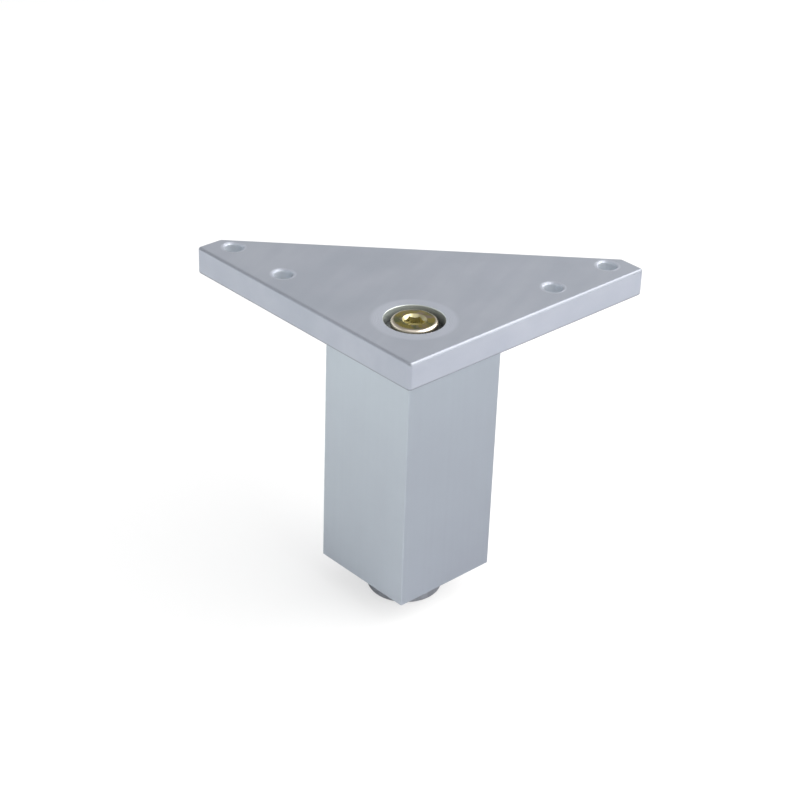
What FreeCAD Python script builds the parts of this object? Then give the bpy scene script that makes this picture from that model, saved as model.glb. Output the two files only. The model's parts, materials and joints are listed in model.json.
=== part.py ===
import FreeCAD, Part
import math
import os

# Square metal table leg: an aluminium tube under a triangular corner plate, with a screwed levelling foot.
# Millimetres. +Z is up, the leg's axis is x = y = 0, and z = 0 is the floor that the foot stands on.
# The plate's right-angle corner is at -X -Y and its two arms run along +X and +Y.

# Leg tube
tube_width = 40.0
tube_wall = 2.0
tube_length = 82.0
tube_corner_radius = 0.4
inner_corner_chamfer = 1.5

# Top plate
plate_arm = 107.5
plate_thickness = 10.0
plate_clip = 10.0
plate_overhang = 1.5
plate_edge_radius = 1.0
plate_corner_radius = 1.2
boss_height = 4.0
boss_clearance = 0.3
boss_chamfer = 1.0

# Screw holes in the top plate, two on each arm, set out from the arm's end
screw_hole_diameter = 6.4
screw_hole_edge_distance = 9.5
screw_hole_end_distance = 8.0
screw_hole_pitch = 26.5
screw_holes_per_arm = 2
screw_hole_rim_radius = 0.8

# Plate bolt and its recess
thread_diameter = 8.0
thread_clearance = 0.05
bolt_length = 25.0
bolt_head_diameter = 15.5
bolt_head_thickness = 2.2
bolt_head_edge_radius = 1.2
bolt_head_drop = 0.05
bolt_hole_clearance = 0.25
bolt_tip_chamfer = 0.8
socket_across_flats = 6.0
socket_depth = 3.0
socket_point_depth = 1.2
socket_mouth_chamfer = 0.5
socket_turn = 15.0
recess_diameter = 20.2
recess_rim_radius = 0.25

# Spring washer under the bolt's head
washer_thickness = 2.0
washer_outer_diameter = 14.8
washer_slit = 1.0

# Cross plates welded into the tube, and the nut pressed into each
cross_plate_thickness = 5.0
upper_plate_gap = 2.0
nut_across_flats = 13.0
nut_hex_height = 5.0
nut_collar_diameter = 11.0
nut_inset = 2.0

# Levelling foot, and how far it stands screwed out of the leg, which is two turns of its thread
foot_out = 2.5
pad_diameter = 21.0
pad_thickness = 1.5
pad_step = 0.5
pad_clearance = 0.15
disc_diameter = 25.5
disc_thickness = 4.5
disc_edge_radius = 0.9
collar_across_flats = 17.0
collar_height = 5.0
collar_chamfer = 0.5
spindle_thread_length = 25.0
spindle_tip_chamfer = 1.0
pivot_diameter = 7.0
pivot_clearance = 0.05
pivot_web = 2.0
rivet_head_diameter = 10.0
rivet_head_thickness = 0.9
rivet_play = 0.3

# Two lengths nearer to each other than this are the same length
same_length = 1e-6

# Heights of the stack, from the floor up
disc_bottom_z = pad_step
disc_top_z = disc_bottom_z + disc_thickness
collar_top_z = disc_top_z + collar_height
lower_nut_z = collar_top_z + foot_out
tube_bottom_z = lower_nut_z - nut_inset
tube_top_z = tube_bottom_z + tube_length
plate_top_z = tube_top_z + plate_thickness

# Places and sizes that follow from the values above
plate_corner = -(tube_width / 2 + plate_overhang)
bore_width = tube_width - 2 * tube_wall
boss_width = bore_width - 2 * boss_clearance
recess_depth = bolt_head_drop + bolt_head_thickness + washer_thickness
recess_floor_z = plate_top_z - recess_depth
head_seat_z = recess_floor_z + washer_thickness
lower_plate_z = lower_nut_z + nut_hex_height
upper_plate_z = tube_top_z - boss_height - upper_plate_gap - cross_plate_thickness
nut_bore_radius = thread_diameter / 2 + thread_clearance
bolt_hole_radius = thread_diameter / 2 + bolt_hole_clearance
pivot_bore_radius = pivot_diameter / 2 + pivot_clearance
web_bottom_z = disc_top_z - pivot_web
rivet_head_top_z = web_bottom_z - rivet_play
rivet_recess_radius = rivet_head_diameter / 2 + rivet_play


def vector(x, y, z):
    return FreeCAD.Vector(x, y, z)


def cylinder(radius, bottom, top):
    return Part.makeCylinder(radius, top - bottom, vector(0, 0, bottom))


def centred_box(width, bottom, top):
    corner = vector(-width / 2, -width / 2, bottom)
    return Part.makeBox(width, width, top - bottom, corner)


def hexagon(across_flats, bottom, top, turn=0.0):
    # Six-sided prism on the leg's axis, with one corner at this many degrees from X.
    radius = across_flats / math.sqrt(3)
    points = []
    for step in range(7):
        angle = math.radians(60 * step + turn)
        points.append(vector(radius * math.cos(angle), radius * math.sin(angle), bottom))
    face = Part.Face(Part.makePolygon(points))
    return face.extrude(vector(0, 0, top - bottom))


def edges_where(shape, test):
    return [edge for edge in shape.Edges if test(edge)]


def is_upright(edge):
    box = edge.BoundBox
    return box.XLength < same_length and box.YLength < same_length


def is_level(edge):
    return edge.BoundBox.ZLength < same_length


def lies_at(edge, height):
    return is_level(edge) and abs(edge.BoundBox.ZMin - height) < same_length


def is_circle(edge, radius):
    return isinstance(edge.Curve, Part.Circle) and abs(edge.Curve.Radius - radius) < same_length


def chamfered_ends(shape, size, radius, heights):
    # Chamfer the round rims of this radius that lie at the given heights.
    rims = edges_where(shape, lambda e: is_circle(e, radius) and any(lies_at(e, z) for z in heights))
    return shape.makeChamfer(size, rims)


def screw_hole_places():
    # A line of holes along each arm, all at the same distance from the arm's outer edge.
    across = plate_corner + screw_hole_edge_distance
    last = plate_corner + plate_arm - screw_hole_end_distance
    places = []
    for count in range(screw_holes_per_arm):
        along = last - count * screw_hole_pitch
        places.append((along, across))
        places.append((across, along))
    return places


def plate_outline():
    # Right-angled triangle whose two sharp ends are each cut off square to their own arm.
    near = plate_corner
    far = plate_corner + plate_arm
    clip = plate_corner + plate_clip
    corners = [(near, near), (far, near), (far, clip), (clip, far), (near, far), (near, near)]
    return Part.makePolygon([vector(x, y, tube_top_z) for x, y in corners])


def make_top_plate():
    plate = Part.Face(plate_outline()).extrude(vector(0, 0, plate_thickness))
    plate = plate.makeFillet(plate_corner_radius, edges_where(plate, is_upright))
    outer = edges_where(plate, lambda e: lies_at(e, plate_top_z) or lies_at(e, tube_top_z))
    plate = plate.makeFillet(plate_edge_radius, outer)
    boss = centred_box(boss_width, tube_top_z - boss_height, tube_top_z)
    boss = boss.makeChamfer(inner_corner_chamfer, edges_where(boss, is_upright))
    lead_in = edges_where(boss, lambda e: lies_at(e, tube_top_z - boss_height))
    plate = plate.fuse(boss.makeChamfer(boss_chamfer, lead_in))
    plate = plate.cut(cylinder(recess_diameter / 2, recess_floor_z, plate_top_z))
    plate = plate.cut(cylinder(bolt_hole_radius, tube_top_z - boss_height, recess_floor_z))
    hole = cylinder(screw_hole_diameter / 2, tube_top_z, plate_top_z)
    for x, y in screw_hole_places():
        plate = plate.cut(hole.translated(vector(x, y, 0)))
    recess_rim = edges_where(plate, lambda e: is_circle(e, recess_diameter / 2) and lies_at(e, plate_top_z))
    plate = plate.makeFillet(recess_rim_radius, recess_rim)
    hole_rims = edges_where(plate, lambda e: is_circle(e, screw_hole_diameter / 2) and is_level(e))
    return plate.makeFillet(screw_hole_rim_radius, hole_rims)


def make_leg_tube():
    outside = centred_box(tube_width, tube_bottom_z, tube_top_z)
    outside = outside.makeFillet(tube_corner_radius, edges_where(outside, is_upright))
    return outside.cut(centred_box(bore_width, tube_bottom_z, tube_top_z))


def make_cross_plate(bottom):
    # Square plate that fills the tube's bore, with its corners cut clear of the weld in the tube's corners.
    plate = centred_box(bore_width, bottom, bottom + cross_plate_thickness)
    plate = plate.makeChamfer(inner_corner_chamfer, edges_where(plate, is_upright))
    return plate.cut(cylinder(nut_collar_diameter / 2, bottom, bottom + cross_plate_thickness))


def make_press_nut(plate_bottom):
    # Hexagon under the cross plate, which takes the thread's upward load, and a collar pressed into the plate.
    body = hexagon(nut_across_flats, plate_bottom - nut_hex_height, plate_bottom)
    collar = cylinder(nut_collar_diameter / 2, plate_bottom, plate_bottom + cross_plate_thickness)
    bore = cylinder(nut_bore_radius, plate_bottom - nut_hex_height, plate_bottom + cross_plate_thickness)
    return body.fuse(collar).cut(bore).removeSplitter()


def make_plate_bolt():
    head_top_z = head_seat_z + bolt_head_thickness
    head = cylinder(bolt_head_diameter / 2, head_seat_z, head_top_z)
    rim = edges_where(head, lambda e: is_circle(e, bolt_head_diameter / 2) and lies_at(e, head_top_z))
    head = head.makeFillet(bolt_head_edge_radius, rim)
    tip_z = head_seat_z - bolt_length
    shank = cylinder(thread_diameter / 2, tip_z, head_seat_z)
    shank = chamfered_ends(shank, bolt_tip_chamfer, thread_diameter / 2, [tip_z])
    socket = hexagon(socket_across_flats, head_top_z - socket_depth, head_top_z, socket_turn)
    inner_radius = socket_across_flats / 2
    mouth_radius = socket_across_flats / math.sqrt(3) + socket_mouth_chamfer
    mouth_depth = mouth_radius - inner_radius
    mouth = Part.makeCone(inner_radius, mouth_radius, mouth_depth, vector(0, 0, head_top_z - mouth_depth))
    point_z = head_top_z - socket_depth - socket_point_depth
    point = Part.makeCone(0, inner_radius, socket_point_depth, vector(0, 0, point_z))
    return head.fuse(shank).cut([socket, mouth, point])


def make_spring_washer():
    ring = cylinder(washer_outer_diameter / 2, recess_floor_z, head_seat_z)
    ring = ring.cut(cylinder(bolt_hole_radius, recess_floor_z, head_seat_z))
    slit_length = washer_outer_diameter / 2
    slit = Part.makeBox(slit_length, washer_slit, washer_thickness, vector(0, -washer_slit / 2, recess_floor_z))
    return ring.cut(slit)


def make_foot_spindle():
    # Pivot riveted over under the disc's web, spanner collar on the disc, and the thread up into the lower nut.
    rivet_head = cylinder(rivet_head_diameter / 2, rivet_head_top_z - rivet_head_thickness, rivet_head_top_z)
    pivot = cylinder(pivot_diameter / 2, rivet_head_top_z, disc_top_z)
    collar = hexagon(collar_across_flats, disc_top_z, collar_top_z)
    corner_radius = collar_across_flats / math.sqrt(3)
    turned = cylinder(corner_radius, disc_top_z, collar_top_z)
    turned = chamfered_ends(turned, collar_chamfer, corner_radius, [disc_top_z, collar_top_z])
    tip_z = collar_top_z + spindle_thread_length
    thread = cylinder(thread_diameter / 2, collar_top_z, tip_z)
    thread = chamfered_ends(thread, spindle_tip_chamfer, thread_diameter / 2, [tip_z])
    return rivet_head.fuse([pivot, collar.common(turned), thread])


def make_foot_disc():
    radius = disc_diameter / 2
    disc = cylinder(radius, disc_bottom_z, disc_top_z)
    disc = disc.makeFillet(disc_edge_radius, edges_where(disc, lambda e: is_circle(e, radius)))
    disc = disc.cut(cylinder(pad_diameter / 2 + pad_clearance, disc_bottom_z, pad_thickness))
    disc = disc.cut(cylinder(rivet_recess_radius, pad_thickness, web_bottom_z))
    return disc.cut(cylinder(pivot_bore_radius, web_bottom_z, disc_top_z))


def make_foot_pad():
    return cylinder(pad_diameter / 2, 0, pad_thickness)


def export(name, shape):
    shape.exportStep("parts/" + name + ".step")
    print(name, "valid", shape.isValid(), "solids", len(shape.Solids), "volume", round(shape.Volume, 1))


def main():
    os.makedirs("parts", exist_ok=True)
    export("top_plate", make_top_plate())
    export("leg_tube", make_leg_tube())
    export("upper_cross_plate", make_cross_plate(upper_plate_z))
    export("upper_press_nut", make_press_nut(upper_plate_z))
    export("plate_bolt", make_plate_bolt())
    export("spring_washer", make_spring_washer())
    export("lower_cross_plate", make_cross_plate(lower_plate_z))
    export("lower_press_nut", make_press_nut(lower_plate_z))
    export("foot_spindle", make_foot_spindle())
    export("foot_disc", make_foot_disc())
    export("foot_pad", make_foot_pad())
    print("height", plate_top_z)


main()
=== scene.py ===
import json
import math

import bmesh
import bpy
from mathutils import Matrix, Vector


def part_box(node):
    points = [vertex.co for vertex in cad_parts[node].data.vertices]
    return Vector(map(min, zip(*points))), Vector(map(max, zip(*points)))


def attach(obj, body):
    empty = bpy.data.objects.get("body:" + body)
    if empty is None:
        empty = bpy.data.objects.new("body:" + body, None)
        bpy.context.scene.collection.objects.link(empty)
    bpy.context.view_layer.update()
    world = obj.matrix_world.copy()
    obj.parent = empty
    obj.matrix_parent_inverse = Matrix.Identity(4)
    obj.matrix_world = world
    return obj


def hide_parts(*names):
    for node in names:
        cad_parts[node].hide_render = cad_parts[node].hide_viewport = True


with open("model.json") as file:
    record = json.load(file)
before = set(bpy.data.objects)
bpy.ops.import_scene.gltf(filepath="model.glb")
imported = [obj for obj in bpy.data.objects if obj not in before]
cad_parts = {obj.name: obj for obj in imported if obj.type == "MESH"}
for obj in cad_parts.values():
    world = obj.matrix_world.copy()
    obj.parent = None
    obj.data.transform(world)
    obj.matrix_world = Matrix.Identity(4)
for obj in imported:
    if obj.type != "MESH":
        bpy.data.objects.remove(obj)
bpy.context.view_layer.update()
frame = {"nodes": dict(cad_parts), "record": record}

bl_info = {
    "name": "Square Table Leg",
    "version": (1, 0, 0),
    "blender": (4, 5, 0),
    "location": "3D View > Sidebar > Table Leg",
    "description": "Dresses a square metal table leg with its finishes, threads and studio",
    "category": "Object",
}

MM = 0.001
FULL_TURN = 2 * math.pi

# Meshes
CHAMFER_SLOPE = math.tan(math.radians(30))
SHARP_ANGLE = math.radians(32)
MERGE_DISTANCE = 0.002 * MM
CUT_TOLERANCE = 1e-9
HEAD_BURR = 0.15 * MM
NUT_LEAD_IN = 0.3 * MM
RIVET_DOME = 0.6 * MM
RIVET_CROWN = 0.2 * MM

# Sockets of the colour mix node
MIX_SHARE = 0
MIX_FIRST = 6
MIX_SECOND = 7

# A wave texture at a scale of 1 repeats every 1/20 of a full turn.
WAVE_UNIT = FULL_TURN / 20

# What the finishes draw, in millimetres: the width of marks, and how deep the relief is
PLATE_CLOUDS = 26.0
PLATE_MOTTLE = 3.0
PLATE_WAVES, PLATE_WAVE_DEPTH = 15.0, 0.08
PLATE_PEEL, PLATE_PEEL_DEPTH = 0.8, 0.005
DIE_LINES, DIE_LINE_DEPTH = 1.4, 0.002
TUBE_CLOUDS = 32.0
TUBE_MOTTLE = 4.0
TUBE_PEEL, TUBE_PEEL_DEPTH = 0.7, 0.003
ZINC_BLOOM = 5.0
ZINC_PATCHES = 2.2
ZINC_GRIT, ZINC_GRIT_DEPTH = 0.5, 0.006
BRIGHT_GRAIN, BRIGHT_GRAIN_DEPTH = 0.9, 0.0015
FEED_MARKS, FEED_MARK_DEPTH = 0.4, 0.006
DISC_GRAIN = 1.5
ROLLING_MARKS, ROLLING_MARK_DEPTH = 1.1, 0.008
NYLON_SCUFFS = 2.5
NYLON_TEXTURE, NYLON_TEXTURE_DEPTH = 0.4, 0.01

# How many times longer than wide the drawn-out marks are, and how far the streaks slant
STREAK_STRETCH = 6
STREAK_SLANT = math.radians(24)
DIE_LINE_STRETCH = 60
ROLLING_STRETCH = 14

# Where a finish changes, in millimetres: along the plate's edges, where their painted shade
# deepens, up from the recess's floor, over which its painted shade lifts, and across the edge of
# the bolt's head, where its painted highlight starts
EDGE_NEAR, EDGE_FAR = 30, 85
RECESS_SHADE_HEIGHT = 2.9
HIGHLIGHT_BAND = 0.4

# The tube's painted shade, which darkens it toward its foot: what a step up counts, where it
# starts and ends in millimetres, and how far the clouds and die lines shift it
FADE_SLOPE = -0.65
FADE_FROM, FADE_TO = -70, 83
CLOUD_SHIFT = 60
LINE_SHIFT = 20

# Studio, in metres and watts. A softbox stands from the leg so far right, to the front and up.
LIT_HEIGHT = 70 * MM
FLOOR_HALF_WIDTH = 4.0
FLOOR_FALL_OFF = 30 * MM
FLOOR_TOUCH = 0.5 * MM
WORLD_TINT = (0.985, 0.99, 1.0, 1.0)
SOFTBOXES = {
    "right_softbox": {
        "stands": (1.0, 0.1, 0.7), "distance": 1.1, "size": (2.0, 1.3),
        "power": 27.0, "tint": (1.0, 0.985, 0.96)},
    "left_softbox": {
        "stands": (-1.0, 0.1, 0.15), "distance": 0.9, "size": (2.0, 0.4),
        "power": 3.6, "tint": (0.98, 1.0, 1.01)},
    "front_softbox": {
        "stands": (0.0, 0.6, 1.0), "distance": 0.9, "size": (0.9, 0.7),
        "power": 1.4, "tint": (1.0, 0.99, 0.98)},
}


# Colours and node trees

def linear(hex_colour):
    """Turns an sRGB hex colour into linear red, green and blue."""
    values = []
    for start in (1, 3, 5):
        share = int(hex_colour[start:start + 2], 16) / 255
        values.append(share / 12.92 if share <= 0.04045 else ((share + 0.055) / 1.055) ** 2.4)
    return tuple(values)


def rgba(colour):
    """A three-part colour as the four parts that a colour socket takes."""
    return (colour[0], colour[1], colour[2], 1.0)


def per_metre(size_mm):
    """Texture scale that makes one feature this many millimetres wide in the frame's metres."""
    return 1.0 / (size_mm * MM)


def add_node(tree, kind, inputs=None, **settings):
    """Adds one node, sets its properties, and sets or links each input.

    A node given for an input is linked by its first output in use.
    """
    node = tree.nodes.new(kind)
    for name, value in settings.items():
        setattr(node, name, value)
    for name, value in (inputs or {}).items():
        if isinstance(value, bpy.types.Node):
            value = next(socket for socket in value.outputs if socket.enabled)
        if isinstance(value, bpy.types.NodeSocket):
            tree.links.new(value, node.inputs[name])
        else:
            node.inputs[name].default_value = value
    return node


def new_material(name):
    """A new material, its empty node tree and the surface's own coordinates."""
    material = bpy.data.materials.new(name)
    material.use_nodes = True
    tree = material.node_tree
    tree.nodes.clear()
    spot = add_node(tree, "ShaderNodeTexCoord").outputs["Object"]
    return material, tree, spot


def from_leg_axis(tree, spot):
    """A point flattened onto the floor plane, and how far it lies from the leg's axis."""
    flat = add_node(tree, "ShaderNodeVectorMath", {0: spot, 1: (1, 1, 0)}, operation="MULTIPLY")
    away = add_node(tree, "ShaderNodeVectorMath", {0: flat}, operation="LENGTH")
    return flat, away


def two_tone(tree, place, width_mm, detail, limits, colours):
    """Noise marks of this width, and two colours that blend between two limits of the noise."""
    noise = add_node(tree, "ShaderNodeTexNoise", {
        "Vector": place, "Scale": per_metre(width_mm), "Detail": detail})
    share = add_node(tree, "ShaderNodeMapRange", {
        "Value": noise, "From Min": limits[0], "From Max": limits[1]})
    base = add_node(tree, "ShaderNodeMix", {
        MIX_SHARE: share, MIX_FIRST: rgba(colours[0]), MIX_SECOND: rgba(colours[1])},
        data_type="RGBA")
    return noise, base


def add_relief(tree, spot, width_mm, detail, depth_mm, under=None):
    """Bumps of this width and depth, laid over the relief under them."""
    noise = add_node(tree, "ShaderNodeTexNoise", {
        "Vector": spot, "Scale": per_metre(width_mm), "Detail": detail})
    inputs = {"Height": noise, "Distance": depth_mm * MM}
    if under:
        inputs["Normal"] = under
    return add_node(tree, "ShaderNodeBump", inputs)


def close_metal(tree, base, noise, gloss, bump):
    """Closes a bare metal, with a roughness that wanders between two values with the noise."""
    rough = add_node(tree, "ShaderNodeMapRange", {
        "Value": noise, "To Min": gloss[0], "To Max": gloss[1]})
    shader = add_node(tree, "ShaderNodeBsdfPrincipled", {
        "Base Color": base, "Metallic": 1.0, "Roughness": rough, "Normal": bump})
    add_node(tree, "ShaderNodeOutputMaterial", {"Surface": shader})


# Materials, each named for what the real one is and how its surface was made

def plate_bores(finish):
    """Axis, radius and halo width of the recess and of each screw hole of the top plate."""
    bores = [((0.0, 0.0, 0.0), finish.recess_radius, finish.recess_halo)]
    for mount in frame["record"]["mounts"]:
        if mount["kind"] != "bolt_pattern":
            continue
        x, y, _ = mount["pos_m"]
        sizes = mount["dims"]
        half_x = sizes.get("spacing_x_mm", 0) / 2 * MM
        half_y = sizes.get("spacing_y_mm", 0) / 2 * MM
        for side in (-1, 1):
            axis = (x + side * half_x, y + side * half_y, 0.0)
            bores.append((axis, sizes["hole_r_mm"] * MM, finish.hole_halo))
    return bores


def rise_from_bores(tree, flat, finish):
    """Rises from 0 at the wall of the nearest bore to 1 at the outer edge of its halo."""
    dish = None
    for axis, radius, halo in plate_bores(finish):
        away = add_node(tree, "ShaderNodeVectorMath", {0: flat, 1: axis}, operation="DISTANCE")
        rise = add_node(tree, "ShaderNodeMapRange", {
            "Value": away, "From Min": radius, "From Max": radius + halo})
        if dish is None:
            dish = rise
        else:
            dish = add_node(tree, "ShaderNodeMath", {0: dish, 1: rise}, operation="MINIMUM")
    return dish


def silver_lacquer_on_cast_aluminium(finish):
    """Satin silver lacquer sprayed over the die-cast top plate, with its bores cut bare."""
    material, tree, spot = new_material("Satin silver lacquer on die-cast aluminium")
    # Metal flow in the casting shows through the thin lacquer as faint slanting streaks.
    slanted = add_node(tree, "ShaderNodeMapping", {
        "Vector": spot, "Rotation": (0, 0, STREAK_SLANT), "Scale": (STREAK_STRETCH, 1, 1)},
        vector_type="TEXTURE")
    _, base = two_tone(tree, slanted, finish.streak_width, 3.0, (0.38, 0.68),
                       (finish.plate_colour, finish.plate_light_colour))
    # Uneven lacquer leaves broad, slightly darker clouds.
    clouds = add_node(tree, "ShaderNodeTexNoise", {
        "Vector": spot, "Scale": per_metre(PLATE_CLOUDS), "Detail": 2.0})
    cloud_share = add_node(tree, "ShaderNodeMapRange", {
        "Value": clouds, "From Min": 0.4, "From Max": 0.65, "To Max": 0.7})
    base = add_node(tree, "ShaderNodeMix", {
        MIX_SHARE: cloud_share, MIX_FIRST: base, MIX_SECOND: rgba(finish.plate_shade_colour)},
        data_type="RGBA")
    # Painted shade darkens the rounded edges away from the bores, more so toward the arms' tips,
    # which keeps their gleam soft.
    flat, away = from_leg_axis(tree, spot)
    dish = rise_from_bores(tree, flat, finish)
    facing = add_node(tree, "ShaderNodeNewGeometry").outputs["Normal"]
    slope = add_node(tree, "ShaderNodeSeparateXYZ", {"Vector": facing}).outputs["Z"]
    slope = add_node(tree, "ShaderNodeMath", {0: slope, 1: 0.5}, operation="PINGPONG")
    rounded = add_node(tree, "ShaderNodeMath", {0: slope, 1: dish}, operation="MULTIPLY")
    edge_shade_and_dullness = add_node(tree, "ShaderNodeMath", {0: rounded, 1: 2.0}, operation="MULTIPLY")
    toward_tips = add_node(tree, "ShaderNodeMapRange", {
        "Value": away, "From Min": EDGE_NEAR * MM, "From Max": EDGE_FAR * MM})
    painted_edge_shade = add_node(tree, "ShaderNodeMix", {
        MIX_SHARE: toward_tips, MIX_FIRST: rgba(finish.plate_edge_painted_shade),
        MIX_SECOND: rgba(finish.plate_tip_painted_shade)}, data_type="RGBA")
    base = add_node(tree, "ShaderNodeMix", {
        MIX_SHARE: edge_shade_and_dullness, MIX_FIRST: base, MIX_SECOND: painted_edge_shade}, data_type="RGBA")
    # Spot facing before the lacquer left a shallow dish round each bore, with fine rings in it
    # that spread light sideways and, with the painted sheen below, draw the pale halo.
    bump = add_node(tree, "ShaderNodeBump", {"Height": dish, "Distance": finish.dish_depth})
    faced = add_node(tree, "ShaderNodeMapRange", {
        "Value": dish, "From Min": 0.7, "From Max": 1.0, "To Min": 1.0, "To Max": 0.0})
    across = add_node(tree, "ShaderNodeCombineXYZ", {"X": dish})
    rings = add_node(tree, "ShaderNodeTexWave", {
        "Vector": across, "Scale": finish.ring_count * WAVE_UNIT},
        wave_type="BANDS", bands_direction="X").outputs["Fac"]
    rings = add_node(tree, "ShaderNodeMath", {0: rings, 1: faced}, operation="MULTIPLY")
    bump = add_node(tree, "ShaderNodeBump", {
        "Height": rings, "Distance": finish.ring_depth, "Normal": bump})
    # A cast face is never quite flat: slow waves make its highlights wander.
    bump = add_relief(tree, spot, PLATE_WAVES, 1.0, PLATE_WAVE_DEPTH, under=bump)
    # Orange peel of sprayed lacquer, drawn large enough to show, breaks up the gloss.
    bump = add_relief(tree, spot, PLATE_PEEL, 2.0, PLATE_PEEL_DEPTH, under=bump)
    # A painted sheen: the halo is painted paler than the lacquer round it.
    base = add_node(tree, "ShaderNodeMix", {
        MIX_SHARE: faced, MIX_FIRST: base, MIX_SECOND: rgba(finish.halo_painted_sheen_colour)},
        data_type="RGBA")
    # Painted shade darkens the bolt's recess toward its floor.
    height = add_node(tree, "ShaderNodeSeparateXYZ", {"Vector": spot}).outputs["Z"]
    recess_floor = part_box("spring_washer")[0].z
    unshaded = add_node(tree, "ShaderNodeMapRange", {
        "Value": height, "From Min": recess_floor,
        "From Max": recess_floor + RECESS_SHADE_HEIGHT * MM})
    painted_recess_shade = add_node(tree, "ShaderNodeMix", {
        MIX_SHARE: unshaded, MIX_FIRST: rgba(finish.recess_painted_shade_colour),
        MIX_SECOND: rgba(finish.recess_metal_colour)}, data_type="RGBA")
    in_recess = add_node(tree, "ShaderNodeMath", {0: away, 1: finish.recess_radius * 1.1},
                         operation="LESS_THAN")
    bare = add_node(tree, "ShaderNodeMix", {
        MIX_SHARE: in_recess, MIX_FIRST: rgba(finish.cut_metal_colour), MIX_SECOND: painted_recess_shade},
        data_type="RGBA")
    # The bores were cut after the lacquer, so their walls are bare bright metal.
    cut = add_node(tree, "ShaderNodeMath", {0: dish, 1: finish.cut_share},
                   operation="LESS_THAN")
    base = add_node(tree, "ShaderNodeMix", {
        MIX_SHARE: cut, MIX_FIRST: base, MIX_SECOND: bare}, data_type="RGBA")
    # The gloss is uneven over the faces and duller on the rounded edges.
    mottle = add_node(tree, "ShaderNodeTexNoise", {
        "Vector": spot, "Scale": per_metre(PLATE_MOTTLE), "Detail": 3.0})
    rough = add_node(tree, "ShaderNodeMapRange", {
        "Value": mottle, "To Min": finish.plate_roughness - 0.05,
        "To Max": finish.plate_roughness + 0.05})
    rough = add_node(tree, "ShaderNodeMath", {0: edge_shade_and_dullness, 1: finish.edge_dullness, 2: rough},
                     operation="MULTIPLY_ADD")
    shader = add_node(tree, "ShaderNodeBsdfPrincipled", {
        "Base Color": base, "Metallic": finish.lacquer_metal, "Roughness": rough,
        "Normal": bump})
    add_node(tree, "ShaderNodeOutputMaterial", {"Surface": shader})
    return material


def silver_lacquer_on_extruded_aluminium(finish):
    """Satin silver finish on the extruded square tube."""
    material, tree, spot = new_material("Satin silver finish on extruded aluminium")
    # Die lines run the length of the tube, so the mottling is drawn out along Z.
    drawn_out = add_node(tree, "ShaderNodeMapping", {
        "Vector": spot, "Scale": (1, 1, DIE_LINE_STRETCH)}, vector_type="TEXTURE")
    lines = add_node(tree, "ShaderNodeTexNoise", {
        "Vector": drawn_out, "Scale": per_metre(DIE_LINES), "Detail": 2.0})
    clouds = add_node(tree, "ShaderNodeTexNoise", {
        "Vector": spot, "Scale": per_metre(TUBE_CLOUDS), "Detail": 2.0})
    # Painted shade darkens the silver toward the foot. Clouds and die lines make that uneven.
    deeper = add_node(tree, "ShaderNodeVectorMath", {0: spot, 1: (0, 0, FADE_SLOPE)},
                      operation="DOT_PRODUCT")
    uneven = add_node(tree, "ShaderNodeMath", {0: clouds, 1: CLOUD_SHIFT * MM, 2: deeper},
                      operation="MULTIPLY_ADD")
    uneven = add_node(tree, "ShaderNodeMath", {0: lines, 1: LINE_SHIFT * MM, 2: uneven},
                      operation="MULTIPLY_ADD")
    shade_share = add_node(tree, "ShaderNodeMapRange", {
        "Value": uneven, "From Min": FADE_FROM * MM, "From Max": FADE_TO * MM})
    base = add_node(tree, "ShaderNodeMix", {
        MIX_SHARE: shade_share, MIX_FIRST: rgba(finish.tube_colour),
        MIX_SECOND: rgba(finish.tube_painted_shade_colour)}, data_type="RGBA")
    bump = add_node(tree, "ShaderNodeBump", {"Height": lines, "Distance": DIE_LINE_DEPTH * MM})
    # Orange peel of the sprayed finish breaks up the gloss.
    bump = add_relief(tree, spot, TUBE_PEEL, 2.0, TUBE_PEEL_DEPTH, under=bump)
    # The gloss is a little uneven.
    mottle = add_node(tree, "ShaderNodeTexNoise", {
        "Vector": spot, "Scale": per_metre(TUBE_MOTTLE), "Detail": 3.0})
    rough = add_node(tree, "ShaderNodeMapRange", {
        "Value": mottle, "To Min": finish.tube_roughness - 0.04,
        "To Max": finish.tube_roughness + 0.04})
    # The die lines spread light sideways, so both faces take the tone of the floor.
    level = add_node(tree, "ShaderNodeTangent", direction_type="RADIAL", axis="Z")
    shader = add_node(tree, "ShaderNodeBsdfPrincipled", {
        "Base Color": base, "Metallic": finish.tube_metal, "Roughness": rough,
        "Anisotropic": 0.8, "Normal": bump, "Tangent": level})
    add_node(tree, "ShaderNodeOutputMaterial", {"Surface": shader})
    return material


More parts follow.
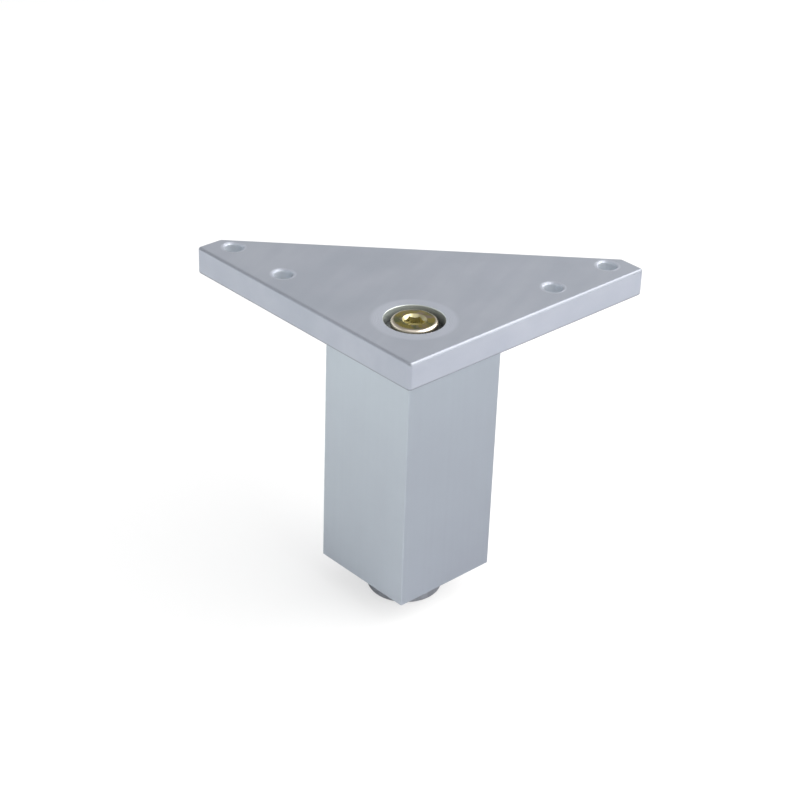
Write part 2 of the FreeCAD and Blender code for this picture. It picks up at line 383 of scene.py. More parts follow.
def yellow_passivated_zinc(finish):
    """Yellow chromate on zinc plated steel: a brownish olive with gold and pink patches."""
    material, tree, spot = new_material("Yellow passivated zinc on steel")
    # The chromate film is uneven, so its tint wanders from olive to gold, with pink blooms.
    _, base = two_tone(tree, spot, ZINC_BLOOM, 2.0, (0.44, 0.56),
                       (finish.zinc_olive, finish.zinc_gold))
    patches = add_node(tree, "ShaderNodeTexNoise", {
        "Vector": spot, "Scale": per_metre(ZINC_PATCHES), "Detail": 3.0})
    patch_share = add_node(tree, "ShaderNodeMapRange", {
        "Value": patches, "From Min": 0.5, "From Max": 0.62, "To Max": 0.8})
    base = add_node(tree, "ShaderNodeMix", {
        MIX_SHARE: patch_share, MIX_FIRST: base, MIX_SECOND: rgba(finish.zinc_pink)},
        data_type="RGBA")
    # The head's rounded edge is painted pale zinc: a painted highlight.
    _, away = from_leg_axis(tree, spot)
    pale_edge_share = add_node(tree, "ShaderNodeMapRange", {
        "Value": away, "From Min": finish.painted_highlight_radius - HIGHLIGHT_BAND * MM,
        "From Max": finish.painted_highlight_radius + HIGHLIGHT_BAND * MM})
    base = add_node(tree, "ShaderNodeMix", {
        MIX_SHARE: pale_edge_share, MIX_FIRST: base, MIX_SECOND: rgba(finish.zinc_edge_painted_highlight)},
        data_type="RGBA")
    # Inside this radius the socket's walls, and the thread too, are painted a brighter gold:
    # painted light against the socket's shade.
    socket_lit_share = add_node(tree, "ShaderNodeMath", {0: away, 1: finish.socket_light_radius},
                      operation="LESS_THAN")
    base = add_node(tree, "ShaderNodeMix", {
        MIX_SHARE: socket_lit_share, MIX_FIRST: base, MIX_SECOND: rgba(finish.zinc_socket_painted_light)},
        data_type="RGBA")
    # Fine grit in the plating breaks up the highlights.
    bump = add_relief(tree, spot, ZINC_GRIT, 3.0, ZINC_GRIT_DEPTH)
    close_metal(tree, base, patches, (0.22, 0.36), bump)
    return material


def bright_zinc(finish):
    """Bright zinc plating on turned steel, as on the press nuts and the spindle."""
    material, tree, spot = new_material("Bright zinc plated steel")
    # The plating's fine grain gives the bright metal a faint sparkle.
    grain, base = two_tone(tree, spot, BRIGHT_GRAIN, 3.0, (0.35, 0.65),
                           (finish.steel_colour, finish.steel_light_colour))
    bump = add_node(tree, "ShaderNodeBump", {
        "Height": grain, "Distance": BRIGHT_GRAIN_DEPTH * MM})
    close_metal(tree, base, grain, (0.26, 0.34), bump)
    return material


def turned_steel(finish):
    """Zinc plated steel of the foot disc, with the rings that the lathe left."""
    material, tree, spot = new_material("Lathe turned zinc plated steel")
    # Feed marks run round the axis on the faces and the rim. Real ones are finer than these.
    _, away = from_leg_axis(tree, spot)
    height = add_node(tree, "ShaderNodeSeparateXYZ", {"Vector": spot}).outputs["Z"]
    along_cut = add_node(tree, "ShaderNodeMath", {0: away, 1: height}, operation="ADD")
    feed = add_node(tree, "ShaderNodeCombineXYZ", {"X": along_cut})
    marks = add_node(tree, "ShaderNodeTexWave", {
        "Vector": feed, "Scale": per_metre(FEED_MARKS) * WAVE_UNIT},
        wave_type="BANDS", bands_direction="X").outputs["Fac"]
    # The plating's grain varies the tone and the gloss.
    grain, base = two_tone(tree, spot, DISC_GRAIN, 3.0, (0.35, 0.65),
                           (finish.disc_colour, finish.disc_light_colour))
    bump = add_node(tree, "ShaderNodeBump", {
        "Height": marks, "Distance": FEED_MARK_DEPTH * MM})
    close_metal(tree, base, grain, (0.3, 0.45), bump)
    return material


def mill_aluminium(finish):
    """Sawn aluminium plate with no lacquer, for the cross plates welded inside the tube."""
    material, tree, spot = new_material("Mill finish aluminium plate")
    # Rolling marks run one way across the plate.
    rolled = add_node(tree, "ShaderNodeMapping", {
        "Vector": spot, "Scale": (ROLLING_STRETCH, 1, 1)}, vector_type="TEXTURE")
    grain, base = two_tone(tree, rolled, ROLLING_MARKS, 3.0, (0.35, 0.65),
                           (finish.mill_colour, finish.mill_light_colour))
    bump = add_node(tree, "ShaderNodeBump", {
        "Height": grain, "Distance": ROLLING_MARK_DEPTH * MM})
    close_metal(tree, base, grain, (0.34, 0.5), bump)
    return material


def moulded_nylon(finish):
    """Matt moulded nylon of the floor pad, lightly scuffed."""
    material, tree, spot = new_material("Moulded nylon")
    # Scuffs from sliding over the floor show as paler, duller patches.
    scuffs, base = two_tone(tree, spot, NYLON_SCUFFS, 4.0, (0.4, 0.7),
                            (finish.nylon_colour, finish.nylon_scuff_colour))
    rough = add_node(tree, "ShaderNodeMapRange", {
        "Value": scuffs, "To Min": 0.5, "To Max": 0.65})
    # Spark-eroded mould texture keeps the pad matt.
    bump = add_relief(tree, spot, NYLON_TEXTURE, 2.0, NYLON_TEXTURE_DEPTH)
    shader = add_node(tree, "ShaderNodeBsdfPrincipled", {
        "Base Color": base, "Roughness": rough, "IOR": 1.53, "Normal": bump})
    add_node(tree, "ShaderNodeOutputMaterial", {"Surface": shader})
    return material


def studio_floor(stage):
    """White painted studio floor that keeps the leg's soft shadow, and pale grey with painted
    shade in reflections.
    """
    material, tree, spot = new_material("White studio floor")
    path = add_node(tree, "ShaderNodeLightPath")
    surface = add_node(tree, "ShaderNodeBsdfDiffuse", {"Color": rgba(stage.floor_colour)})
    # In reflections the floor carries painted shade, falling off to a darker, cooler grey on the
    # leg's +X -Y side.
    side = add_node(tree, "ShaderNodeVectorMath", {0: spot, 1: (1, -1, 0)},
                    operation="DOT_PRODUCT")
    fall_off = add_node(tree, "ShaderNodeMapRange", {
        "Value": side, "From Min": -FLOOR_FALL_OFF, "From Max": FLOOR_FALL_OFF})
    reflected = add_node(tree, "ShaderNodeMix", {
        MIX_SHARE: fall_off, MIX_FIRST: rgba(stage.reflected_floor),
        MIX_SECOND: rgba(stage.reflected_painted_shade)}, data_type="RGBA")
    mirrored = add_node(tree, "ShaderNodeBsdfDiffuse", {"Color": reflected})
    surface = add_node(tree, "ShaderNodeMixShader", {
        0: path.outputs["Is Glossy Ray"], 1: surface, 2: mirrored})
    # Where it is seen it glows, which keeps it white and the leg's shadow light.
    depth = stage.shadow_depth
    shadow = add_node(tree, "ShaderNodeBsdfDiffuse", {"Color": (depth, depth, depth, 1)})
    glow = add_node(tree, "ShaderNodeEmission", {"Strength": stage.floor_glow})
    white = add_node(tree, "ShaderNodeAddShader", {0: shadow, 1: glow})
    for sight in ("Is Transmission Ray", "Is Camera Ray"):
        surface = add_node(tree, "ShaderNodeMixShader", {
            0: path.outputs[sight], 1: surface, 2: white})
    # From below the floor is clear, so that the foot's underside can be looked at. It is also
    # clear to what almost touches it, so that light from below reaches the pad's face.
    underside = add_node(tree, "ShaderNodeNewGeometry").outputs["Backfacing"]
    touching = add_node(tree, "ShaderNodeMath", {
        0: path.outputs["Ray Length"], 1: FLOOR_TOUCH}, operation="LESS_THAN")
    unseen = add_node(tree, "ShaderNodeMath", {0: underside, 1: touching}, operation="MAXIMUM")
    clear = add_node(tree, "ShaderNodeBsdfTransparent")
    surface = add_node(tree, "ShaderNodeMixShader", {0: unseen, 1: surface, 2: clear})
    add_node(tree, "ShaderNodeOutputMaterial", {"Surface": surface})
    return material


# Meshes of turned and threaded pieces

def hexagon_radius(across_flats, turn=0.0):
    """Radius of a hexagon by angle, with one of its corners at this turn from X."""
    half = across_flats / 2
    return lambda angle: half / math.cos((angle - turn) % (math.pi / 3) - math.pi / 6)


def add_ring(bm, radius, height, segments):
    """One ring of points round the leg's axis. Radius and height may follow the angle."""
    ring = []
    for step in range(segments):
        angle = FULL_TURN * step / segments
        r = radius(angle) if callable(radius) else radius
        z = height(angle) if callable(height) else height
        ring.append(bm.verts.new((r * math.cos(angle), r * math.sin(angle), z)))
    return ring


def add_turned(bm, profile, segments):
    """Joins a profile's rings of (radius, height), from first to last, and returns the rings."""
    rings = [add_ring(bm, radius, height, segments) for radius, height in profile]
    for first, second in zip(rings, rings[1:]):
        for step in range(segments):
            after = (step + 1) % segments
            bm.faces.new((first[step], first[after], second[after], second[step]))
    return rings


def loop_edges(bm, ring):
    """The edges that join a ring's neighbouring points."""
    return [bm.edges.get((point, ring[(place + 1) % len(ring)]))
            for place, point in enumerate(ring)]


def close_ring(bm, ring, height):
    """Closes a ring with a fan to a point on the axis."""
    tip = bm.verts.new((0, 0, height))
    for place, point in enumerate(ring):
        bm.faces.new((point, ring[(place + 1) % len(ring)], tip))


def rounded_edge(radius, height, rounding, steps=6):
    """Profile points round a turned edge, from its side up to its top face."""
    points = []
    for step in range(steps + 1):
        angle = math.pi / 2 * step / steps
        points.append((radius - rounding * (1 - math.cos(angle)),
                       height - rounding * (1 - math.sin(angle))))
    return points


def add_thread(bm, sizes, low, high, radius_limit, segments):
    """A right-hand thread between two heights. Returns the edges at its lower and upper ends."""
    crest, root, pitch = sizes
    # One pitch of the ISO metric profile: crest flat, flank, root flat, flank.
    profile = [(0.0, crest), (1 / 8, crest), (7 / 16, root), (11 / 16, root)]
    rows = []
    for turn in range(math.floor(low / pitch) - 2, math.ceil(high / pitch) + 2):
        for share, radius in profile:
            start = turn + share
            rows.append(add_ring(
                bm, radius, lambda angle: pitch * (start + angle / FULL_TURN), segments))
    points = [point for row in rows for point in row]
    for place in range(len(rows) - len(profile) - 1):
        for step in range(segments):
            # The last column joins the first one a whole turn higher.
            lift, after = divmod(step + 1, segments)
            beside = place + lift * len(profile)
            bm.faces.new((rows[place][step], rows[beside][after],
                          rows[beside + 1][after], rows[place + 1][step]))
    ends = []
    for height, side in ((low, -1), (high, 1)):
        edges = dict.fromkeys(edge for point in points for edge in point.link_edges)
        faces = dict.fromkeys(face for point in points for face in point.link_faces)
        cut = bmesh.ops.bisect_plane(
            bm, geom=[*points, *edges, *faces], dist=CUT_TOLERANCE, plane_co=(0, 0, height),
            plane_no=(0, 0, side), clear_outer=True)["geom_cut"]
        ends.append([item for item in cut if isinstance(item, bmesh.types.BMEdge)])
        fresh = [item for item in cut if isinstance(item, bmesh.types.BMVert)]
        points = [point for point in dict.fromkeys(points + fresh) if point.is_valid]
    for point in points:
        reach = math.hypot(point.co.x, point.co.y)
        wanted = radius_limit(reach, point.co.z)
        point.co.x *= wanted / reach
        point.co.y *= wanted / reach
    return ends


def finish_mesh(name, bm):
    """Turns the built mesh into an object, smooth but for its sharp edges."""
    # Where a chamfer runs out, its points meet and become one.
    bmesh.ops.remove_doubles(bm, verts=bm.verts, dist=MERGE_DISTANCE)
    bmesh.ops.recalc_face_normals(bm, faces=bm.faces)
    for face in bm.faces:
        face.smooth = True
    for edge in bm.edges:
        edge.smooth = edge.calc_face_angle(0.0) < SHARP_ANGLE
    mesh = bpy.data.meshes.new(name)
    bm.to_mesh(mesh)
    bm.free()
    piece = bpy.data.objects.new(name, mesh)
    bpy.context.scene.collection.objects.link(piece)
    return piece


def dress(piece, material):
    """Gives a piece one material on all its faces."""
    piece.data.materials.clear()
    piece.data.materials.append(material)


def stand_in(piece, node, body, material):
    """Puts a detailed piece in the place of a CAD node."""
    dress(piece, material)
    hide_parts(node)
    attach(piece, body)


def hexagon_block(across_flats, face_radius, bottom, top):
    """Profile of a hexagon whose corners are chamfered at both faces."""
    side = hexagon_radius(across_flats)

    def face_edge(angle):
        return min(side(angle), face_radius)

    def chamfer(angle):
        return max(0.0, side(angle) - face_radius) * CHAMFER_SLOPE

    return [(face_edge, bottom), (side, lambda angle: bottom + chamfer(angle)),
            (side, lambda angle: top - chamfer(angle)), (face_edge, top)]


# Settings that a user would change

def colour_setting(name, description, hex_colour):
    """A colour, given as sRGB hex."""
    return bpy.props.FloatVectorProperty(
        name=name, description=description, subtype="COLOR", size=3, min=0, max=1,
        default=linear(hex_colour))


def share_setting(name, description, share):
    """A share between 0 and 1."""
    return bpy.props.FloatProperty(
        name=name, description=description, subtype="FACTOR", min=0, max=1, default=share)


def length_setting(name, description, size_mm):
    """A length, given in millimetres."""
    return bpy.props.FloatProperty(
        name=name, description=description, unit="LENGTH", default=size_mm * MM)


def angle_setting(name, description, degrees):
    """An angle, given in degrees."""
    return bpy.props.FloatProperty(
        name=name, description=description, subtype="ANGLE", default=math.radians(degrees))


def plain_setting(name, description, number):
    """A plain number that isn't negative."""
    return bpy.props.FloatProperty(name=name, description=description, min=0, default=number)


def count_setting(name, description, count, least):
    """A whole number with a least value."""
    return bpy.props.IntProperty(
        name=name, description=description, min=least, default=count)


class FinishSettings(bpy.types.PropertyGroup):
    """Colours and surface values of the leg's finishes."""

    plate_colour: colour_setting("Plate silver", "Silver lacquer of the top plate", "#B0B5C0")
    plate_light_colour: colour_setting(
        "Plate streaks", "Lighter flow streaks of the top plate", "#B5BAC4")
    plate_shade_colour: colour_setting(
        "Plate clouds", "Darker clouds in the plate's lacquer", "#AAB0BB")
    # Painted shade on the plate's rounded edges, deeper toward the arms' tips, that dims their
    # highlight
    plate_edge_painted_shade: colour_setting(
        "Plate edges", "Thin lacquer on the plate's rounded edges", "#8C9098")
    plate_tip_painted_shade: colour_setting(
        "Plate tips", "Thinner lacquer on the rounded edges toward the arms' tips", "#7C8087")
    # Painted sheen of the halo round each bore
    halo_painted_sheen_colour: colour_setting("Halo silver", "Lacquer over the spot-faced rings", "#BDC2CD")
    cut_metal_colour: colour_setting(
        "Bore metal", "Bare cut metal of the screw holes", "#D8DDE3")
    recess_metal_colour: colour_setting(
        "Recess metal", "Bare cut metal of the bolt's recess", "#C0C7C2")
    # Painted shade at the bottom of the bolt's recess
    recess_painted_shade_colour: colour_setting(
        "Painted recess shade", "Greasy metal at the bottom of the recess", "#6C6E70")
    # The tube's silver at the top, and the painted shade that darkens it toward the foot
    tube_colour: colour_setting("Tube silver", "Silver finish of the square tube", "#C6D0D7")
    tube_painted_shade_colour: colour_setting(
        "Tube shade", "Deeper silver toward the tube's foot", "#B3B8C2")
    # Painted highlight on the bolt head's rounded edge
    zinc_edge_painted_highlight: colour_setting(
        "Zinc edge", "Thin passivation on the bolt head's rounded edge", "#DED4C6")
    # Painted light inside the bolt's socket
    zinc_socket_painted_light: colour_setting(
        "Zinc socket", "Rubbed passivation inside the bolt's socket", "#C2BB94")
    zinc_olive: colour_setting("Zinc olive", "Olive of the bolt's passivation", "#686A44")
    zinc_gold: colour_setting("Zinc gold", "Gold of the bolt's passivation", "#94863E")
    zinc_pink: colour_setting("Zinc pink", "Pink bloom of the bolt's passivation", "#917E74")
    steel_colour: colour_setting(
        "Zinc plated steel", "Bright zinc on the nuts and spindle", "#B6B8BB")
    steel_light_colour: colour_setting(
        "Zinc plated steel, light", "Lighter grain of the bright zinc", "#C9CBCE")
    disc_colour: colour_setting("Foot disc", "Plated steel of the foot disc", "#A0A3AA")
    disc_light_colour: colour_setting(
        "Foot disc, light", "Lighter grain of the foot disc", "#B0B3BA")
    mill_colour: colour_setting(
        "Mill aluminium", "Bare aluminium of the cross plates", "#A6A8AB")
    mill_light_colour: colour_setting(
        "Mill aluminium, light", "Lighter rolling marks of the cross plates", "#BCBEC0")
    nylon_colour: colour_setting("Nylon pad", "Nylon of the floor pad", "#4E5054")
    nylon_scuff_colour: colour_setting(
        "Nylon scuffs", "Scuffed nylon of the floor pad", "#64666A")
    lacquer_metal: share_setting(
        "Lacquer metal", "How metallic the plate's silver lacquer looks", 0.65)
    tube_metal: share_setting(
        "Tube metal", "How metallic the tube's silver finish looks", 0.95)
    plate_roughness: share_setting(
        "Plate roughness", "Roughness of the top plate's lacquer", 0.38)
    tube_roughness: share_setting("Tube roughness", "Roughness of the tube's finish", 0.42)
    edge_dullness: share_setting(
        "Edge dullness", "Roughness added on the plate's rounded edges", 0.15)
    streak_width: plain_setting(
        "Streak width", "Width of the plate's flow streaks, in millimetres", 6.0)
    # Radius from which the bolt head's edge is painted pale, a painted highlight
    painted_highlight_radius: length_setting(
        "Painted edge highlight", "Radius from which the bolt head's passivation is thin", 6.9)
    # Radius inside which the bolt is painted a brighter gold, painted light
    socket_light_radius: length_setting(
        "Painted socket light", "Radius inside which the bolt's passivation is rubbed", 4.05)
    recess_radius: length_setting("Recess radius", "Radius of the bolt's recess", 10.1)
    recess_halo: length_setting(
        "Recess halo", "Width of the spot-faced ring round the recess", 4.6)
    hole_halo: length_setting(
        "Hole halo", "Width of the spot-faced ring round each screw hole", 1.5)
    dish_depth: length_setting("Halo depth", "How low the spot-faced rings lie", 0.2)
    ring_count: count_setting(
        "Rings", "Number of the facing tool's rings in each halo", 9, least=1)
    ring_depth: length_setting("Ring depth", "Depth of the facing tool's rings", 0.045)
    cut_share: share_setting(
        "Cut edge", "Share of the halo that a bore's bare metal reaches over", 0.03)


class ThreadSettings(bpy.types.PropertyGroup):
    """Sizes of the M8 threads and of the pieces that carry them."""

    pitch: length_setting("Pitch", "Rise of the thread in one turn", 1.25)
    diameter: length_setting("Diameter", "Outer diameter of the thread", 8.0)
    depth: length_setting("Depth", "Depth of the thread from crest to root", 0.767)
    clearance: length_setting("Clearance", "Radial gap between nut and screw", 0.05)
    head_rounding: length_setting(
        "Head rounding", "Rounding of the bolt head's upper edge", 1.2)
    bolt_chamfer: length_setting("Bolt tip", "Chamfer of the bolt's tip", 0.8)
    socket_across_flats: length_setting("Socket", "Bolt's socket across its flats", 6.0)
    socket_depth: length_setting("Socket depth", "Depth of the bolt's socket", 3.0)
    socket_point: length_setting(
        "Socket point", "Depth of the cone at the socket's bottom", 1.2)
    socket_mouth: length_setting("Socket mouth", "Chamfer outside the socket's corners", 0.5)
    socket_turn: angle_setting("Socket turn", "Angle at which the tight bolt stands", 15)
    nut_across_flats: length_setting("Nut", "Press nut across its flats", 13.0)
    nut_hex_height: length_setting("Nut height", "Height of the press nut's hexagon", 5.0)
    nut_collar_diameter: length_setting("Nut collar", "Collar of the press nut", 11.0)
    nut_mouth: length_setting("Nut mouth", "Countersink of the nut's thread", 0.25)
    spindle_chamfer: length_setting("Spindle tip", "Chamfer of the spindle's tip", 1.0)
    collar_across_flats: length_setting(
        "Spanner collar", "Spindle's collar across its flats", 17.0)
    collar_height: length_setting("Collar height", "Height of the spindle's collar", 5.0)
    collar_chamfer: length_setting("Collar chamfer", "Chamfer of the collar's corners", 0.5)
    pivot_diameter: length_setting("Pivot", "Pivot that turns in the foot disc", 7.0)
    rivet_diameter: length_setting("Rivet head", "Riveted end under the foot disc", 10.0)
    rivet_height: length_setting("Rivet height", "Thickness of the riveted end", 0.9)
    segments: count_setting(
        "Segments", "Steps round each thread, a multiple of 24", 96, least=24)


class StageSettings(bpy.types.PropertyGroup):
    """Camera, floor and light of the studio."""

    azimuth: angle_setting("Azimuth", "Turn of the view, from along +Y towards -X", -43.32)
    elevation: angle_setting("Elevation", "How far the camera looks down", 29.69)
    roll: angle_setting("Roll", "Tilt of the camera about its view", -2.09)
    lens: plain_setting("Lens", "Focal length in millimetres", 89.92)
    distance: length_setting(
        "Distance", "From the camera to the foot, along the view", 690.15)
    foot_right: length_setting(
        "Foot right", "How far the foot lies right of the view's middle", 1.38)
    foot_below: length_setting(
        "Foot below", "How far the foot lies below the view's middle", 63.1)
    floor_gap: length_setting("Floor gap", "Room left between the pad and the floor", 0.1)
    floor_colour: colour_setting("Floor", "White paint of the floor", "#E8E9EB")
    shadow_depth: share_setting(
        "Shadow depth", "How dark the leg's shadow on the floor may get", 0.4)
    reflected_floor: colour_setting(
        "Reflected floor", "Floor in reflections, on the leg's -X side", "#EDEEEE")
    # Painted shade of the floor as reflections see it
    reflected_painted_shade: colour_setting(
        "Reflected shade", "Floor in reflections, on the leg's -Y side", "#C3C3C7")
    floor_glow: plain_setting("Floor glow", "Light that the floor adds where it is seen", 0.6)
    horizon_light: plain_setting(
        "Horizon light", "Strength of the even light at the horizon", 0.77)
    zenith_light: plain_setting("Zenith light", "Strength of the even light overhead", 0.31)


# Operators, one for each group of pieces and one for the stage

class TABLELEG_OT_top_plate(bpy.types.Operator):
    """Finishes the cast top plate"""

    bl_idname = "table_leg.top_plate"
    bl_label = "Top Plate"

    def execute(self, context):
        finish = context.scene.table_leg_finish
        dress(frame["nodes"]["top_plate"], silver_lacquer_on_cast_aluminium(finish))
        return {"FINISHED"}


class TABLELEG_OT_leg_tube(bpy.types.Operator):
    """Finishes the square tube and the plates welded inside it"""

    bl_idname = "table_leg.leg_tube"
    bl_label = "Leg Tube"

    def execute(self, context):
        finish = context.scene.table_leg_finish
        dress(frame["nodes"]["leg_tube"], silver_lacquer_on_extruded_aluminium(finish))
        bare = mill_aluminium(finish)
        dress(frame["nodes"]["upper_cross_plate"], bare)
        dress(frame["nodes"]["lower_cross_plate"], bare)
        return {"FINISHED"}


class TABLELEG_OT_plate_bolt(bpy.types.Operator):
    """Builds the threaded plate bolt and finishes its spring washer"""

    bl_idname = "table_leg.plate_bolt"
    bl_label = "Plate Bolt"

    def execute(self, context):
        sizes = context.scene.table_leg_thread
        low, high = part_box("plate_bolt")
        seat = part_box("spring_washer")[1].z
        head_radius = high.x
        crest = sizes.diameter / 2

        def pointed(reach, z):
            return min(reach, crest - max(0.0, low.z + sizes.bolt_chamfer - z))

        bm = bmesh.new()
        ends = add_thread(bm, (crest, crest - sizes.depth, sizes.pitch), low.z, seat,
                          pointed, sizes.segments)
        bmesh.ops.contextual_create(bm, geom=ends[0])
        side = hexagon_radius(sizes.socket_across_flats, sizes.socket_turn)
        mouth = sizes.socket_across_flats / math.sqrt(3) + sizes.socket_mouth
        floor = high.z - sizes.socket_depth
        profile = [(head_radius - HEAD_BURR, seat), (head_radius, seat + HEAD_BURR)]
        profile += rounded_edge(head_radius, high.z, sizes.head_rounding)
        profile += [(mouth, high.z), (side, lambda angle: high.z - mouth + side(angle)),
                    (side, floor)]
        rings = add_turned(bm, profile, sizes.segments)
        close_ring(bm, rings[-1], floor - sizes.socket_point)
        bmesh.ops.bridge_loops(bm, edges=ends[1] + loop_edges(bm, rings[0]))
        bolt = finish_mesh("threaded_plate_bolt", bm)
        zinc = yellow_passivated_zinc(context.scene.table_leg_finish)
        stand_in(bolt, "plate_bolt", "leg", zinc)
        dress(frame["nodes"]["spring_washer"], zinc)
        return {"FINISHED"}


def build_press_nut(node, sizes):
    """A press nut with its real thread, in the place of the plain one."""
    low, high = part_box(node)
    crest = sizes.diameter / 2 + sizes.clearance
    mouth = crest + sizes.nut_mouth

    def countersunk(reach, z):
        return max(reach, mouth - (z - low.z), mouth - (high.z - z))

    bm = bmesh.new()
    ends = add_thread(bm, (crest, crest - sizes.depth, sizes.pitch), low.z, high.z,
                      countersunk, sizes.segments)
    shoulder = low.z + sizes.nut_hex_height
    collar = sizes.nut_collar_diameter / 2
    side = hexagon_radius(sizes.nut_across_flats)
    profile = hexagon_block(
        sizes.nut_across_flats, sizes.nut_across_flats / 2, low.z, shoulder)[:2]
    profile += [(side, shoulder), (collar, shoulder), (collar, high.z - NUT_LEAD_IN),
                (collar - NUT_LEAD_IN, high.z)]
    rings = add_turned(bm, profile, sizes.segments)
    bmesh.ops.bridge_loops(bm, edges=ends[0] + loop_edges(bm, rings[0]))
    bmesh.ops.bridge_loops(bm, edges=ends[1] + loop_edges(bm, rings[-1]))
    return finish_mesh("threaded_" + node, bm)


class TABLELEG_OT_press_nuts(bpy.types.Operator):
    """Builds the two press nuts with their threads"""

    bl_idname = "table_leg.press_nuts"
    bl_label = "Press Nuts"

    def execute(self, context):
        sizes = context.scene.table_leg_thread
        zinc = bright_zinc(context.scene.table_leg_finish)
        for node in ("upper_press_nut", "lower_press_nut"):
            stand_in(build_press_nut(node, sizes), node, "leg", zinc)
        return {"FINISHED"}


class TABLELEG_OT_levelling_foot(bpy.types.Operator):
    """Builds the threaded spindle and finishes the foot's disc and pad"""

    bl_idname = "table_leg.levelling_foot"
    bl_label = "Levelling Foot"

    def execute(self, context):
        finish = context.scene.table_leg_finish
        sizes = context.scene.table_leg_thread
        low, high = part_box("foot_spindle")
        disc_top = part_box("foot_disc")[1].z
        collar_top = disc_top + sizes.collar_height
        crest = sizes.diameter / 2
        pivot = sizes.pivot_diameter / 2
        rivet = sizes.rivet_diameter / 2
        rivet_top = low.z + sizes.rivet_height
        face_radius = sizes.collar_across_flats / math.sqrt(3) - sizes.collar_chamfer

        def pointed(reach, z):
            return min(reach, crest - max(0.0, z - high.z + sizes.spindle_chamfer))

        bm = bmesh.new()
        ends = add_thread(bm, (crest, crest - sizes.depth, sizes.pitch), collar_top, high.z,
                          pointed, sizes.segments)
        bmesh.ops.contextual_create(bm, geom=ends[1])
        # The riveted end is peened to a shallow dome.
        profile = [(rivet - RIVET_DOME, low.z), (rivet - RIVET_CROWN, low.z + RIVET_CROWN),
                   (rivet, low.z + RIVET_DOME), (rivet, rivet_top), (pivot, rivet_top),
                   (pivot, disc_top)]
        profile += hexagon_block(sizes.collar_across_flats, face_radius, disc_top, collar_top)
        rings = add_turned(bm, profile, sizes.segments)
        close_ring(bm, rings[0][::-1], low.z)
        bmesh.ops.bridge_loops(bm, edges=ends[0] + loop_edges(bm, rings[-1]))
        spindle = finish_mesh("threaded_foot_spindle", bm)
        stand_in(spindle, "foot_spindle", "adjusting_spindle",
                 bright_zinc(finish))
        dress(frame["nodes"]["foot_disc"], turned_steel(finish))
        dress(frame["nodes"]["foot_pad"], moulded_nylon(finish))
        return {"FINISHED"}


def add_softbox(name, direction, lamp_data):
    """A softbox that shines on the middle of the leg from a direction."""
    target = Vector((0, 0, LIT_HEIGHT))
    data = bpy.data.lights.new(name, "AREA")
    data.shape = "RECTANGLE"
    data.size, data.size_y = lamp_data["size"]
    data.energy = lamp_data["power"]
    data.color = lamp_data["tint"]
    lamp = bpy.data.objects.new(name, data)
    lamp.location = target + direction.normalized() * lamp_data["distance"]
    lamp.rotation_mode = "QUATERNION"
    lamp.rotation_quaternion = (lamp.location - target).to_track_quat("Z", "Y")
    bpy.context.scene.collection.objects.link(lamp)


def camera_axes(stage):
    """The camera's right, down and forward directions."""
    forward = Vector((-math.sin(stage.azimuth) * math.cos(stage.elevation),
                      math.cos(stage.azimuth) * math.cos(stage.elevation),
                      -math.sin(stage.elevation)))
    right = Vector((math.cos(stage.azimuth), math.sin(stage.azimuth), 0))
    down = forward.cross(right)
    rolled_right = math.cos(stage.roll) * right + math.sin(stage.roll) * down
    rolled_down = math.cos(stage.roll) * down - math.sin(stage.roll) * right
    return rolled_right, rolled_down, forward


def add_camera(stage):
    """The camera at the photograph's viewing angle."""
    right, down, forward = camera_axes(stage)
    data = bpy.data.cameras.new("Camera")
    data.lens = stage.lens
    data.clip_end = 20
    camera = bpy.data.objects.new("Camera", data)
    place = -(right * stage.foot_right + down * stage.foot_below + forward * stage.distance)
    turn = Matrix((right, -down, -forward)).transposed().to_4x4()
    camera.matrix_world = Matrix.Translation(place) @ turn
    bpy.context.scene.collection.objects.link(camera)
    bpy.context.scene.camera = camera


def add_floor(stage):
    """A wide floor that stays under the foot's pad when the foot is screwed in or out."""
    bm = bmesh.new()
    bmesh.ops.create_grid(bm, x_segments=1, y_segments=1, size=FLOOR_HALF_WIDTH)
    mesh = bpy.data.meshes.new("studio_floor")
    bm.to_mesh(mesh)
    bm.free()
    floor = bpy.data.objects.new("studio_floor", mesh)
    floor.location.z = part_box("foot_pad")[0].z - stage.floor_gap
    bpy.context.scene.collection.objects.link(floor)
    dress(floor, studio_floor(stage))
    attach(floor, "foot_base")


def light_world(stage):
    """Even light from all round, pale at the horizon and dimmer overhead."""
    world = bpy.data.worlds.new("Studio")
    bpy.context.scene.world = world
    world.use_nodes = True
    tree = world.node_tree
    tree.nodes.clear()
    direction = add_node(tree, "ShaderNodeTexCoord").outputs["Generated"]
    up = add_node(tree, "ShaderNodeSeparateXYZ", {"Vector": direction}).outputs["Z"]
    strength = add_node(tree, "ShaderNodeMapRange", {
        "Value": up, "To Min": stage.horizon_light, "To Max": stage.zenith_light})
    light = add_node(tree, "ShaderNodeBackground", {"Color": WORLD_TINT, "Strength": strength})
    add_node(tree, "ShaderNodeOutputWorld", {"Surface": light})


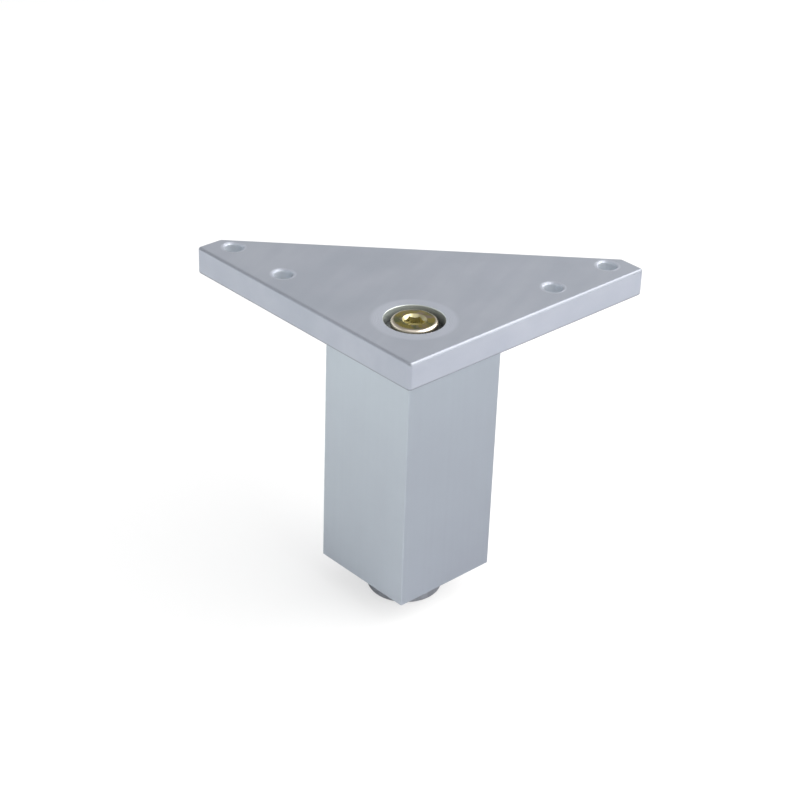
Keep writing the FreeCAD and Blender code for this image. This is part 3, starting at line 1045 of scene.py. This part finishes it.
class TABLELEG_OT_stage(bpy.types.Operator):
    """Sets up the camera, the floor and the soft studio light"""

    bl_idname = "table_leg.stage"
    bl_label = "Stage"

    def execute(self, context):
        stage = context.scene.table_leg_stage
        right, _, forward = camera_axes(stage)
        right = Vector((right.x, right.y, 0)).normalized()
        front = Vector((-forward.x, -forward.y, 0)).normalized()
        up = Vector((0, 0, 1))
        for name, lamp_data in SOFTBOXES.items():
            sideways, ahead, above = lamp_data["stands"]
            add_softbox(name, right * sideways + front * ahead + up * above, lamp_data)
        light_world(stage)
        add_floor(stage)
        add_camera(stage)
        context.scene.view_settings.view_transform = "Standard"
        return {"FINISHED"}


class TABLELEG_PT_sidebar(bpy.types.Panel):
    """Lists the leg's steps and settings"""

    bl_label = "Square Table Leg"
    bl_space_type = "VIEW_3D"
    bl_region_type = "UI"
    bl_category = "Table Leg"

    def draw(self, context):
        for step in STEPS:
            self.layout.operator(step.bl_idname)
        for name in SETTINGS:
            group = getattr(context.scene, name)
            box = self.layout.box()
            for setting in group.__annotations__:
                box.prop(group, setting)


SETTINGS = {
    "table_leg_finish": FinishSettings,
    "table_leg_thread": ThreadSettings,
    "table_leg_stage": StageSettings,
}
STEPS = (
    TABLELEG_OT_top_plate,
    TABLELEG_OT_leg_tube,
    TABLELEG_OT_plate_bolt,
    TABLELEG_OT_press_nuts,
    TABLELEG_OT_levelling_foot,
    TABLELEG_OT_stage,
)
CLASSES = (*SETTINGS.values(), *STEPS, TABLELEG_PT_sidebar)


def register():
    """Registers the classes and hangs the settings on the scene."""
    for cls in CLASSES:
        bpy.utils.register_class(cls)
    for name, group in SETTINGS.items():
        setattr(bpy.types.Scene, name, bpy.props.PointerProperty(type=group))


def unregister():
    """Takes the settings and the classes away again."""
    for name in SETTINGS:
        delattr(bpy.types.Scene, name)
    for cls in reversed(CLASSES):
        bpy.utils.unregister_class(cls)


def main():
    """Dresses the leg and sets the stage, in order."""
    register()
    bpy.ops.table_leg.top_plate()
    bpy.ops.table_leg.leg_tube()
    bpy.ops.table_leg.plate_bolt()
    bpy.ops.table_leg.press_nuts()
    bpy.ops.table_leg.levelling_foot()
    bpy.ops.table_leg.stage()


if __name__ == "__main__":
    main()
